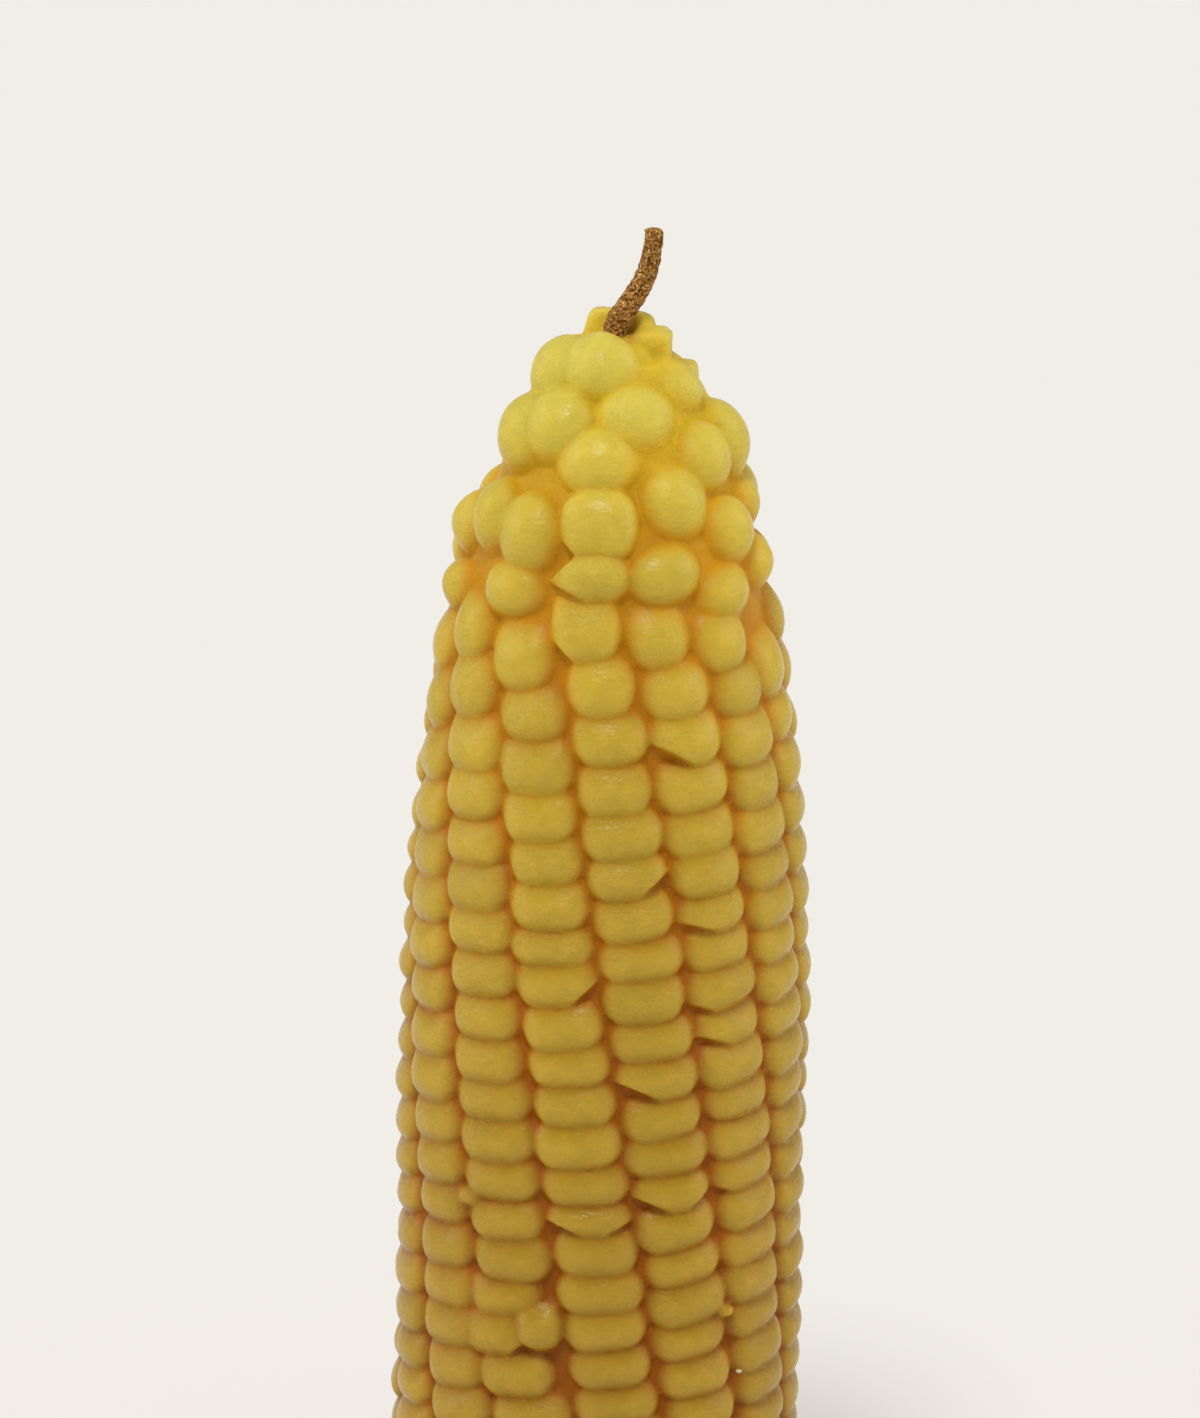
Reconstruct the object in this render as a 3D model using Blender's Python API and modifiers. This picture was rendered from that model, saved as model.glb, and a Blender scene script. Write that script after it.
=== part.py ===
"""Corn cob candle: one beeswax casting in the shape of a maize ear, with a cotton wick through it.

Frame: metres, +Z up, origin on the flat base under the ear's axis; the front of the ear faces -Y.
Lengths below are in millimetres and angles in degrees. An azimuth is measured from the front (-Y)
toward the right (+X).
"""
import math

import bmesh
import bpy
from mathutils import Matrix, Vector

MM = 0.001

# The ear: the radius over the kernels' crowns at some heights above the base
CROWN_RADII = ((-4, 22.0), (10, 22.9), (35, 23.7), (82, 23.6), (100, 22.9), (110, 22.0), (119, 21.1),
               (125, 20.3), (130, 19.4), (136, 18.4), (140, 17.8), (143, 16.6), (147, 15.0),
               (150, 14.4), (152, 13.5), (155, 11.5), (157, 10.2), (159, 9.2), (161.6, 7.0),
               (163.5, 4.4), (165, 2.0))
# How deep the core lies under the crowns at two heights: the loose kernels of the tip are set deeper
CORE_DEPTH = ((128, 2.0), (142, 2.5))
CORE_TOP = 160.5
CORE_SIDES = 48

# Fourteen rows of kernels that wind round the ear as they go down; the first kernels are longer and are
# swept to one side
ROWS = 14
MIDDLE_HEIGHT = 85.0
FRONT_ROW_AZIMUTH = 14.5
TWIST_PER_MM = 0.41
TOP_SWEEP = 5.0
SWEEP_FADE = 1.3
PITCH = 4.5
TOP_PITCH_GAIN = 1.8
PITCH_FADE = 3.2
LOWEST_KERNEL = -3.0
# First kernel of each row and the row's stretch, from the front row toward the right
ROW_STARTS = ((132.2, 1.0), (131.5, 0.97), (130.4, 0.955), (126.2, 0.99), (130.4, 1.03), (128.2, 1.0),
              (131.5, 0.97), (127.4, 1.02), (129.6, 1.0), (132.0, 1.03), (128.8, 0.98),
              (127.2, 1.048), (130.4, 1.027), (128.5, 0.992))
# Thin and fat kernels: row and place in the row, and the share of the usual room
ODD_ROOM = {(0, 5): 0.9, (0, 13): 0.9, (1, 6): 0.9, (6, 3): 0.9, (8, 9): 0.9, (10, 5): 0.8,
            (12, 13): 0.9, (13, 6): 0.78, (13, 7): 1.1, (13, 13): 0.85}
# A kernel in a row: half its depth, how far it overlaps its neighbours, and how far it looks up
ROW_HALF_DEPTH = 3.4
SIDE_OVERLAP = 0.98
END_OVERLAP = 1.24
ROW_LIFT = 12.0
KERNEL_LEAN = 7.0

# Loose kernels: azimuth, reach of the middle from the axis, its height, width and length
TOP_KERNELS = ((-21, 5.6, 157.9, 8.0, 8.0), (-64, 6.4, 157.2, 7.6, 8.0), (62, 6.6, 155.3, 7.2, 6.6),
               (165, 5.0, 157.8, 8.4, 7.2), (-118, 5.6, 156.6, 7.6, 7.6), (115, 5.0, 155.4, 7.4, 7.0),
               (0, 0.0, 158.9, 8.5, 4.8))
SIDE_KERNELS = ((-62, 10.6, 151.0, 8.2, 8.8), (-38, 9.6, 152.2, 8.3, 8.3), (13, 8.6, 153.0, 8.6, 8.1),
                (-10, 10.8, 148.9, 8.3, 8.2), (54, 11.0, 148.9, 7.8, 7.8), (87, 10.9, 149.7, 7.8, 8.6),
                (90, 12.6, 142.4, 7.4, 6.7), (29, 12.3, 144.5, 7.8, 8.3), (-39, 13.7, 140.8, 7.4, 8.8),
                (-62, 13.4, 141.5, 7.2, 8.2), (-86, 14.6, 139.5, 7.4, 7.1), (58, 13.8, 140.8, 7.8, 7.6),
                (76, 14.6, 136.2, 7.2, 6.9), (49, 15.0, 134.5, 8.0, 7.1), (20, 14.7, 137.2, 8.0, 6.8),
                (-42, 15.0, 134.7, 8.0, 6.9), (-84, 15.3, 132.6, 7.6, 6.4), (127, 9.6, 150.2, 8.0, 8.0),
                (113, 13.2, 142.6, 8.0, 7.8), (105, 14.8, 135.6, 7.6, 7.0), (-102, 9.0, 151.8, 8.0, 8.0),
                (-108, 10.6, 145.4, 7.8, 7.8), (-107, 15.0, 135.4, 7.4, 6.8),
                (-7, 13.2, 142.4, 7.7, 7.4), (-9, 14.7, 137.0, 8.2, 6.2))
TIP_HALF_DEPTH = 4.0
TIP_OVERLAP = 1.17
TIP_LIFT = 14.0
# Side kernels this near the front are repeated at the back
REPEATED_WITHIN = 60
# Kernels crowded in between two rows, and torn wax round the wick: azimuth, reach, height, width, length
# and half depth
CROWDED_KERNELS = ((-14.5, 20.9, 51.6, 6.6, 7.4, 3.2), (147, 20.6, 74.0, 7.0, 7.2, 3.2))
TORN_WAX = ((176, 2.4, 161.3, 8.0, 4.8, 1.6), (84, 3.8, 160.2, 4.4, 4.2, 2.2),
            (80, 6.6, 156.7, 5.2, 4.6, 2.4), (140, 3.0, 161.5, 3.8, 4.4, 1.5),
            (-140, 4.0, 160.9, 2.6, 2.8, 1.2))

# How square a kernel's outline is, and the grid it starts from
ROW_SQUARENESS = 2.4
TIP_SQUARENESS = 2.25
TORN_SQUARENESS = 6.0
KERNEL_CUTS = 3

# The cast skin's mesh
VOXEL = 0.7
CAST_FACES = 0.066

# The wick: round braid, straight up through the wax, then bent over to the right: distance across, height
WICK_RADIUS = 1.2
WICK_FOOT = 0.15
WICK_BEND = ((0.0, 150.0), (-0.3, 158.0), (-0.42, 161.3), (-0.1, 162.9), (0.66, 164.2), (1.41, 165.4),
             (2.06, 166.5), (2.65, 167.7), (3.16, 169.1), (3.46, 170.6), (3.66, 172.2), (3.72, 173.7))
WICK_RUNS = 4
WICK_STEPS = 2
WICK_SIDES = 3
BORE_CLEARANCE = 0.3


def between(pairs, x):
    """Read a list of (place, value) pairs at x, straight between its points."""
    for (x0, y0), (x1, y1) in zip(pairs, pairs[1:]):
        if x <= x1:
            break
    part = min(max((x - x0) / (x1 - x0), 0.0), 1.0)
    return y0 + part * (y1 - y0)


def crown_slope(height):
    """How steeply the ear closes in at a height, as the angle that its skin looks up."""
    reach = 3.0
    change = between(CROWN_RADII, height - reach) - between(CROWN_RADII, height + reach)
    return math.atan2(change, 2 * reach)


def row_kernels(row, start, stretch):
    """List the kernels of one row, as add_kernel takes them."""
    kernels = []
    height = start
    place = 0
    while height > LOWEST_KERNEL:
        room = stretch * ODD_ROOM.get((row, place), 1.0)
        pitch = (PITCH + TOP_PITCH_GAIN * math.exp(-place / PITCH_FADE)) * room
        azimuth = (FRONT_ROW_AZIMUTH + row * 360 / ROWS + TWIST_PER_MM * (MIDDLE_HEIGHT - height)
                   - TOP_SWEEP * math.exp(-SWEEP_FADE * place))
        radius = between(CROWN_RADII, height)
        slope = crown_slope(height)
        reach = radius - ROW_HALF_DEPTH * math.cos(slope)
        middle = height - ROW_HALF_DEPTH * math.sin(slope)
        half_size = (math.pi * radius / ROWS * SIDE_OVERLAP, pitch * END_OVERLAP / 2, ROW_HALF_DEPTH)
        kernels.append((azimuth, reach, middle, slope + math.radians(ROW_LIFT), half_size, ROW_SQUARENESS))
        height -= pitch
        place += 1
    return kernels


def all_kernels():
    """List every kernel and lump of wax on the ear, as add_kernel takes them."""
    kernels = []
    for row, (start, stretch) in enumerate(ROW_STARTS):
        kernels += row_kernels(row, start, stretch)
    back = [(azimuth + 180, *rest) for azimuth, *rest in SIDE_KERNELS if abs(azimuth) < REPEATED_WITHIN]
    for azimuth, reach, height, width, length in (*TOP_KERNELS, *SIDE_KERNELS, *back):
        half_size = (width * TIP_OVERLAP / 2, length * TIP_OVERLAP / 2, TIP_HALF_DEPTH)
        kernels.append((azimuth, reach, height, math.radians(TIP_LIFT), half_size, TIP_SQUARENESS))
    for azimuth, reach, height, width, length, half_depth in CROWDED_KERNELS:
        half_size = (width / 2, length / 2, half_depth)
        kernels.append((azimuth, reach, height, math.radians(ROW_LIFT), half_size, ROW_SQUARENESS))
    for azimuth, reach, height, width, length, half_depth in TORN_WAX:
        kernels.append((azimuth, reach, height, 0.0, (width / 2, length / 2, half_depth), TORN_SQUARENESS))
    return kernels


def kernel_place(azimuth, reach, height, rise):
    """The frame of a kernel from its middle and how far it looks up: X across, Y up the row, Z outward."""
    turn = math.radians(azimuth)
    outward = Vector((math.sin(turn), -math.cos(turn), 0))
    across = Vector((math.cos(turn), math.sin(turn), 0))
    up = Vector((0, 0, 1))
    normal = outward * math.cos(rise) + up * math.sin(rise)
    axes = Matrix((across, normal.cross(across), normal)).transposed().to_4x4()
    lean = Matrix.Rotation(math.radians(KERNEL_LEAN), 4, 'Z')
    return Matrix.Translation((outward * reach + up * height) * MM) @ axes @ lean


def kernel_block():
    """A cube of edge 2 with a grid of corners, which every kernel starts from."""
    shape = bmesh.new()
    bmesh.ops.create_cube(shape, size=2.0)
    bmesh.ops.subdivide_edges(shape, edges=shape.edges, cuts=KERNEL_CUTS, use_grid_fill=True)
    mesh = bpy.data.meshes.new('kernel')
    shape.to_mesh(mesh)
    shape.free()
    return mesh


def add_kernel(shape, block, azimuth, reach, height, rise, half_size, squareness):
    """Add one kernel to the shape: the block drawn onto a soft, square-shouldered egg."""
    known = len(shape.verts)
    shape.from_mesh(block)
    shape.verts.ensure_lookup_table()
    place = kernel_place(azimuth, reach, height, rise)
    for corner in shape.verts[known:]:
        spread = sum(abs(value) ** squareness for value in corner.co) ** (1 / squareness)
        egg = corner.co / spread
        corner.co = place @ Vector(value * half * MM for value, half in zip(egg, half_size))


def new_object(name, mesh, collection):
    thing = bpy.data.objects.new(name, mesh)
    collection.objects.link(thing)
    return thing


def core(collection):
    """The turned core under the kernels, as a profile with a Screw modifier."""
    profile = [(0.0, CORE_TOP)]
    for height, radius in reversed(CROWN_RADII):
        if height < CORE_TOP:
            profile.append((radius - between(CORE_DEPTH, height), height))
    profile.append((0.0, CROWN_RADII[0][0]))
    mesh = bpy.data.meshes.new('core')
    mesh.from_pydata([(radius * MM, 0, height * MM) for radius, height in profile],
                     [(i, i + 1) for i in range(len(profile) - 1)], [])
    turned = new_object('core', mesh, collection)
    screw = turned.modifiers.new('Turn', 'SCREW')
    screw.steps = CORE_SIDES
    screw.render_steps = CORE_SIDES
    screw.use_merge_vertices = True
    screw.merge_threshold = 0.00001
    return turned


def mesh_of(thing):
    """The mesh of an object as its modifiers or its curve make it, with loose doubles welded."""
    bpy.context.view_layer.update()
    seen = thing.evaluated_get(bpy.context.evaluated_depsgraph_get())
    mesh = bpy.data.meshes.new_from_object(seen)
    shape = bmesh.new()
    shape.from_mesh(mesh)
    bmesh.ops.remove_doubles(shape, verts=shape.verts, dist=0.00001)
    shape.to_mesh(mesh)
    shape.free()
    return mesh


def material(name, colour, roughness):
    """A Principled material of one linear colour."""
    made = bpy.data.materials.new(name)
    made.use_nodes = True
    shader = made.node_tree.nodes['Principled BSDF']
    shader.inputs['Base Color'].default_value = (*colour, 1.0)
    shader.inputs['Roughness'].default_value = roughness
    shader.inputs['Metallic'].default_value = 0.0
    return made


def cutter(name, collection, width, length, height, middle):
    """A wire-drawn box that cuts; it is left out of the build."""
    shape = bmesh.new()
    bmesh.ops.create_cube(shape, size=1.0)
    bmesh.ops.scale(shape, vec=Vector((width, length, height)) * MM, verts=shape.verts)
    mesh = bpy.data.meshes.new(name)
    shape.to_mesh(mesh)
    shape.free()
    box = new_object(name, mesh, collection)
    box.location = Vector(middle) * MM
    box.hide_render = True
    box.display_type = 'WIRE'
    return box


def wick_route(foot):
    """Points along the wick's middle, from a foot height to its cut end, in millimetres."""
    bend = [Vector((x, 0, z)) for x, z in WICK_BEND]
    route = [Vector((0, 0, foot + (bend[0].z - foot) * part / WICK_RUNS)) for part in range(WICK_RUNS)]
    guide = [bend[0] * 2 - bend[1], *bend, bend[-1] * 2 - bend[-2]]
    for before, start, end, after in zip(guide, guide[1:], guide[2:], guide[3:]):
        for step in range(WICK_STEPS):
            t = step / WICK_STEPS
            route.append(0.5 * (2 * start + (end - before) * t
                                + (2 * before - 5 * start + 4 * end - after) * t ** 2
                                + (3 * start - 3 * end + after - before) * t ** 3))
    route.append(bend[-1])
    return route


def cord(name, route, radius, collection):
    """A round cord with closed ends along a route."""
    line = bpy.data.curves.new(name, 'CURVE')
    line.dimensions = '3D'
    line.bevel_depth = radius * MM
    line.bevel_resolution = WICK_SIDES
    line.use_fill_caps = True
    spline = line.splines.new('POLY')
    spline.points.add(len(route) - 1)
    for point, place in zip(spline.points, route):
        point.co = (*(place * MM), 1.0)
    return new_object(name, line, collection)


def channel_cutter(collection):
    """The channel that the wick leaves in the wax, a little wider than the wick and past both its ends."""
    route = wick_route(-10.0)
    line = cord('channel_line', route, WICK_RADIUS + BORE_CLEARANCE, collection)
    channel = new_object('wick_channel', mesh_of(line), collection)
    channel.matrix_world = line.matrix_world
    bpy.data.objects.remove(line)
    channel.hide_render = True
    channel.display_type = 'WIRE'
    return channel


def subtract(body, tool):
    cut = body.modifiers.new('Cut ' + tool.name, 'BOOLEAN')
    cut.operation = 'DIFFERENCE'
    cut.solver = 'EXACT'
    cut.object = tool


def wax_body(parts, cutters):
    """The casting: core and kernels run together, cut flat at the base, with the wick's channel."""
    turned = core(parts)
    shape = bmesh.new()
    shape.from_mesh(mesh_of(turned))
    bpy.data.objects.remove(turned)
    block = kernel_block()
    for kernel in all_kernels():
        add_kernel(shape, block, *kernel)
    mesh = bpy.data.meshes.new('wax_body')
    shape.to_mesh(mesh)
    shape.free()
    body = new_object('wax_body', mesh, parts)
    cast = body.modifiers.new('Run together', 'REMESH')
    cast.mode = 'VOXEL'
    cast.voxel_size = VOXEL * MM
    thin = body.modifiers.new('Lighter mesh', 'DECIMATE')
    thin.ratio = CAST_FACES
    wide = 80.0
    subtract(body, cutter('base_cut', cutters, wide, wide, wide, (0, 0, -wide / 2)))
    subtract(body, channel_cutter(cutters))
    body.data.materials.append(material('beeswax', (0.50, 0.32, 0.05), 0.45))
    return body


def wick(parts):
    """The braided wick, as a round cord straight up through the wax and then along its bend."""
    braid = cord('wick', wick_route(WICK_FOOT), WICK_RADIUS, parts)
    braid.data.materials.append(material('waxed cotton', (0.32, 0.15, 0.05), 0.8))
    return braid


def smooth(body, angle):
    body.data.shade_smooth()
    body.data.set_sharp_from_angle(angle=math.radians(angle))


for old in list(bpy.data.objects):
    bpy.data.objects.remove(old)
candle = bpy.data.collections.new('corn_cob_candle')
bpy.context.scene.collection.children.link(candle)
cutting = bpy.data.collections.new('cutters')
bpy.context.scene.collection.children.link(cutting)
smooth(wax_body(candle, cutting), 40)
wick(candle)
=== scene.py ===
"""A corn cob candle: beeswax cast in the shape of an ear of maize, with a waxed cotton wick.

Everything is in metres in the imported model's frame: +Z up, the origin on the base under the ear's axis, the
front of the ear toward -Y. Sizes below are in millimetres and turned to metres by MM. An azimuth is in
degrees from the front toward the right (+X).
"""
import math
import random

import bmesh
import bpy
import numpy as np
from mathutils import Matrix, Vector, kdtree, noise


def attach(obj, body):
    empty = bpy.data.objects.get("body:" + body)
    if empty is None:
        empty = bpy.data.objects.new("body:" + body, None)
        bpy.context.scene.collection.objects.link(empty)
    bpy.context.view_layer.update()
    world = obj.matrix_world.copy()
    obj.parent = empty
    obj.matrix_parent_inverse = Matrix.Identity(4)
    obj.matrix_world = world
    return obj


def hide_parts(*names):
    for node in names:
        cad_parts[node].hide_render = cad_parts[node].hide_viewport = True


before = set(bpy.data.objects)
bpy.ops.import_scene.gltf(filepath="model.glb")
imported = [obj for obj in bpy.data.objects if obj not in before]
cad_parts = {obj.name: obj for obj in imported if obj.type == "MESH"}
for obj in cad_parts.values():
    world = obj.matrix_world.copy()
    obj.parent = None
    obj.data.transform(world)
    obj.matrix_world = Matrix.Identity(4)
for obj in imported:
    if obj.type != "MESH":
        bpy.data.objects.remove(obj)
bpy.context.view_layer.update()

MM = 0.001


# ---------------------------------------------------------------------------------------------------------
# The core of the ear
# The inside of the casting, which shows only at the bottom of the grooves between the kernels and at the
# base. The real one is the cob of the maize ear that the mould was taken from, and it is poured in one go
# with the kernels. The base, where the mould was filled, is sunk round the wick because wax shrinks.

# Height and radius over the crowns of the kernels
EAR_OUTLINE = ((-4, 22.0), (10, 22.9), (35, 23.7), (82, 23.6), (100, 22.9), (110, 22.0), (119, 21.1),
               (125, 20.3), (130, 19.4), (136, 18.4), (140, 17.8), (143, 16.6), (147, 15.0), (150, 14.4),
               (152, 13.5), (155, 11.5), (157, 10.2), (159, 9.2), (161.6, 7.0), (163.5, 4.4), (165, 2.0))
# Height and depth of the core under that outline: the loose kernels of the tip are set deeper
CORE_DEPTH = ((128, 2.0), (142, 2.5))
CORE_TOP = 160.5
CORE_SIDES = 96
# Height and radius of the rings that hollow the base out, from round the wick outwards
DISH = ((1.1, 1.9), (0.95, 3.2), (0.45, 6.0), (0.1, 8.4), (-4.0, 9.6))


def read_off(pairs, height):
    """Read a list of height and value pairs at a height, straight between its points."""
    return float(np.interp(height, [pair[0] for pair in pairs], [pair[1] for pair in pairs]))


def leave_edit_mode():
    if bpy.context.mode != 'OBJECT':
        bpy.ops.object.mode_set(mode='OBJECT')
    bpy.ops.object.select_all(action='DESELECT')


def take(piece):
    """Make one object the only selected and active one."""
    leave_edit_mode()
    piece.select_set(True)
    bpy.context.view_layer.objects.active = piece


leave_edit_mode()
last_height, last_radius = DISH[0]
bpy.ops.mesh.primitive_circle_add(vertices=CORE_SIDES, radius=last_radius * MM,
                                  location=(0, 0, last_height * MM), fill_type='NGON')
core = bpy.context.object
core.name = 'core'
bpy.ops.object.transform_apply(location=True)
bpy.ops.object.mode_set(mode='EDIT')
bpy.ops.mesh.select_all(action='SELECT')
wall = [(height, radius - read_off(CORE_DEPTH, height))
        for height, radius in EAR_OUTLINE if height < CORE_TOP]
for height, radius in list(DISH[1:]) + wall:
    bpy.ops.mesh.extrude_region_move(TRANSFORM_OT_translate={"value": (0, 0, (height - last_height) * MM)})
    grow = radius / last_radius
    bpy.ops.transform.resize(value=(grow, grow, 1), center_override=(0, 0, height * MM))
    last_height, last_radius = height, radius
bpy.ops.mesh.select_all(action='SELECT')
bpy.ops.mesh.normals_make_consistent(inside=False)
bpy.ops.object.mode_set(mode='OBJECT')


# ---------------------------------------------------------------------------------------------------------
# The kernels in rows
# Fourteen rows of soft, square-shouldered kernels that wind gently round the ear, each with its lower lip
# over the next one. They are casts of real ones, so they get shorter down the ear, and here and there one is
# thin or was chipped before the mould was made.

KERNEL_HALF_DEPTH = 3.4
KERNEL_SIDE_OVERLAP = 0.98
KERNEL_END_OVERLAP = 1.62
KERNEL_LEAN = 7.0
KERNEL_LIFT = math.radians(9)
ROWS = 14
FRONT_ROW_AZIMUTH = 14.5
MIDDLE_HEIGHT = 85.0
TWIST_PER_MM = 0.41
TOP_SWEEP = 5.0
SWEEP_FADE = 1.3
PITCH = 4.5
TOP_PITCH_GAIN = 1.8
PITCH_FADE = 3.2
LOWEST_KERNEL = -3.0
# The first kernel of each row and the row's stretch, from the front row toward the right
ROW_STARTS = ((132.2, 1.0), (131.5, 0.97), (130.4, 0.955), (126.2, 0.99), (130.4, 1.03), (128.2, 1.0),
              (131.5, 0.97), (127.4, 1.02), (129.6, 1.0), (132.0, 1.03), (128.8, 0.98),
              (127.2, 1.048), (130.4, 1.027), (128.5, 0.992))
# Odd kernels: row and place in the row, the shape, and how much of the usual room it takes
ODD_KERNELS = {(0, 0): ('nicked', 1.0), (0, 5): ('cut_right', 0.9), (0, 10): ('cut_left', 1.0),
               (0, 13): ('cut_both', 0.9), (1, 2): ('cut_left', 1.0), (1, 6): ('cut_left', 0.9),
               (1, 8): ('nicked', 1.0), (1, 9): ('cut_left', 1.0), (1, 13): ('nicked', 1.0),
               (4, 7): ('cut_left', 1.0), (6, 3): ('cut_right', 0.9), (8, 9): ('cut_both', 0.9),
               (10, 5): ('whole', 0.8), (12, 13): ('nicked', 0.9), (12, 16): ('cut_right', 1.0),
               (13, 6): ('whole', 0.78), (13, 7): ('cut_right', 1.1), (13, 13): ('cut_both', 0.85)}
# How many kernels at the top of each row are almost round
BALL_KERNELS = 2
# Kernels pushed aside by a crowded one, in degrees
PUSHED_ASIDE = {(12, 15): -4.0, (12, 16): -7.0, (12, 17): -3.0}
# Where a chip runs across the kernel, as two points on its face; (-1, -1) is the lower left corner
CHIPS = {'cut_left': ((-1.1, 0.05), (0.15, -0.95)), 'cut_right': ((0.1, -0.95), (1.1, 0.0)),
         'cut_above': ((0.05, 1.1), (-1.1, -0.1)), 'nicked': ((-1.1, -0.15), (-0.2, -1.05))}
# Kernels that crowd in between two rows, and lumps of spilt wax: azimuth, reach of the middle from the axis,
# its height, width, length and half depth
CROWDED_KERNELS = ((-16.5, 21.2, 51.7, 6.0, 6.6, 3.0), (147, 20.6, 74.0, 7.0, 7.2, 3.2))
SPILT_WAX = ((39.5, 22.9, 52.6, 2.0, 1.4, 1.2), (-40.5, 22.0, 65.4, 3.4, 2.6, 1.1),
             (-31, 22.0, 69.0, 2.4, 1.2, 1.3), (201, 22.5, 96.0, 2.0, 1.6, 1.2))
# The small differences between kernels: degrees round, millimetres out and up, radians of tilt, and size
AZIMUTH_SPREAD = (-0.6, 0.6)
REACH_SPREAD = (-0.22, 0.18)
HEIGHT_SPREAD = (-0.2, 0.2)
RISE_SPREAD = (-0.06, 0.06)
TILT_SPREAD = (-0.08, 0.08)
WIDTH_SPREAD = (0.95, 1.04)
LENGTH_SPREAD = (0.95, 1.05)
# Half the height over which the outline's slope is read
SLOPE_SPAN = 3
# Points further out than this belong to a side of a kernel's box, which is rounded off this many times
NEAR_SIDE = 0.9
ROUNDINGS = 3


def kernel_frame(azimuth, reach, height, rise):
    """A kernel's frame from its middle, in millimetres, and how far it looks up: X across, Z outward."""
    turn = math.radians(azimuth)
    outward = Vector((math.sin(turn), -math.cos(turn), 0))
    across = Vector((math.cos(turn), math.sin(turn), 0))
    up = Vector((0, 0, 1))
    normal = outward * math.cos(rise) + up * math.sin(rise)
    axes = Matrix((across, normal.cross(across), normal)).transposed().to_4x4()
    lean = Matrix.Rotation(math.radians(KERNEL_LEAN), 4, 'Z')
    return Matrix.Translation((outward * reach + up * height) * MM) @ axes @ lean


def model_kernel(name, shoulder, narrowing, lip=0.0):
    """Model a kernel of half width, length and depth 1: a box, bevelled, narrower below, then rounded off.

    A lip makes the face shorter and pushes it toward the lower end, which turns blunt.
    """
    leave_edit_mode()
    bpy.ops.mesh.primitive_cube_add(size=2)
    kernel = bpy.context.object
    kernel.name = name
    bpy.ops.object.mode_set(mode='EDIT')
    bpy.ops.mesh.select_all(action='SELECT')
    bpy.ops.mesh.bevel(offset=shoulder, offset_type='OFFSET', segments=1, affect='EDGES')
    bpy.ops.mesh.select_all(action='DESELECT')
    bpy.ops.object.mode_set(mode='OBJECT')
    for vertex in kernel.data.vertices:
        vertex.select = vertex.co.y < -NEAR_SIDE
    bpy.ops.object.mode_set(mode='EDIT')
    bpy.ops.transform.resize(value=(narrowing, 1, 1), center_override=(0, 0, 0))
    bpy.ops.mesh.select_all(action='DESELECT')
    bpy.ops.object.mode_set(mode='OBJECT')
    for vertex in kernel.data.vertices:
        vertex.select = vertex.co.z > NEAR_SIDE
    bpy.ops.object.mode_set(mode='EDIT')
    bpy.ops.transform.resize(value=(1, 1 - lip, 1), center_override=(0, 0, 0))
    bpy.ops.transform.translate(value=(0, -lip / 2, 0))
    bpy.ops.object.mode_set(mode='OBJECT')
    rounding = kernel.modifiers.new('rounding', 'SUBSURF')
    rounding.levels = ROUNDINGS
    rounding.render_levels = ROUNDINGS
    bpy.ops.object.modifier_apply(modifier=rounding.name)
    bpy.ops.transform.resize(value=[2 / size for size in kernel.dimensions])
    bpy.ops.object.transform_apply(scale=True)
    return kernel


def chip(kernel, name, *cuts):
    """Copy a kernel and break it away on the far side of each named line across its face."""
    leave_edit_mode()
    chipped = kernel.copy()
    chipped.data = kernel.data.copy()
    chipped.name = name
    bpy.context.scene.collection.objects.link(chipped)
    take(chipped)
    bpy.ops.object.mode_set(mode='EDIT')
    for cut in cuts:
        start, end = CHIPS[cut]
        beyond = Vector((end[0] - start[0], end[1] - start[1], 0)).cross(Vector((0, 0, 1))).normalized()
        bpy.ops.mesh.select_all(action='SELECT')
        bpy.ops.mesh.bisect(plane_co=(start[0], start[1], 0), plane_no=beyond, use_fill=True,
                            clear_outer=True)
    bpy.ops.object.mode_set(mode='OBJECT')
    return chipped


row_kernel = model_kernel('row_kernel', 0.5, 0.84, 0.5)
kernel_shapes = {'whole': row_kernel,
                 'ball': model_kernel('ball_kernel', 0.6, 0.94, 0.3),
                 'nicked': chip(row_kernel, 'nicked_chip', 'nicked'),
                 'cut_left': chip(row_kernel, 'left_chip', 'cut_left'),
                 'cut_right': chip(row_kernel, 'right_chip', 'cut_right'),
                 'cut_both': chip(row_kernel, 'both_chip', 'cut_left', 'cut_right')}
chance = random.Random(11)
placed = []


def set_kernel(shape, azimuth, reach, height, rise, width, length, depth=KERNEL_HALF_DEPTH):
    """Put a copy of a modelled kernel on the ear, with small differences of place, tilt and size."""
    place = kernel_frame(azimuth + chance.uniform(*AZIMUTH_SPREAD), reach + chance.uniform(*REACH_SPREAD),
                         height + chance.uniform(*HEIGHT_SPREAD), rise + chance.uniform(*RISE_SPREAD))
    tilt = Matrix.Rotation(chance.uniform(*TILT_SPREAD), 4, 'Z')
    half_width = width * chance.uniform(*WIDTH_SPREAD) / 2
    half_length = length * chance.uniform(*LENGTH_SPREAD) / 2
    half_size = Vector((half_width, half_length, depth, 1 / MM)) * MM
    copy = shape.copy()
    copy.data = shape.data.copy()
    bpy.context.scene.collection.objects.link(copy)
    copy.data.transform(place @ tilt @ Matrix.Diagonal(half_size))
    placed.append((copy, place.translation))


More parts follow.
